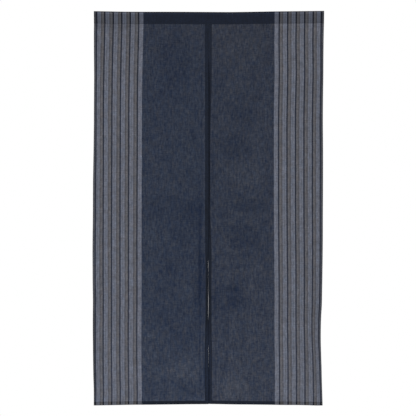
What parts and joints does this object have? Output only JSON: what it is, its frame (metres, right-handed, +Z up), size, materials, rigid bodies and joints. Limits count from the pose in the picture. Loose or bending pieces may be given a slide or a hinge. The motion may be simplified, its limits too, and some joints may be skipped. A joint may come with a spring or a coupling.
{
  "type": "noren curtain",
  "caption": "Split doorway curtain of striped cotton panels that hang nearly flat from one stitched rod pocket across the top.",
  "frame": {"origin": "middle of the top edge of the rod pocket, from which the curtain hangs", "axes": "+Z up along the hanging cloth, +X to the right as seen from the front, +Y to the back, so the front faces -Y"},
  "size_m": [0.8835, 0.0491, 1.5068],
  "materials": {
    "striped_cotton": "matt plain-weave cotton, navy field and grey-blue, brown-grey and navy stripes at the outer edges, slightly sheer where it is a single layer",
    "pocket_cotton": "the same cotton turned double, so darker and not sheer"
  },
  "bodies": {
    "root": {"rod_pocket": "pocket_cotton", "panel_left": "striped_cotton", "panel_right": "striped_cotton"}
  },
  "joints": []
}
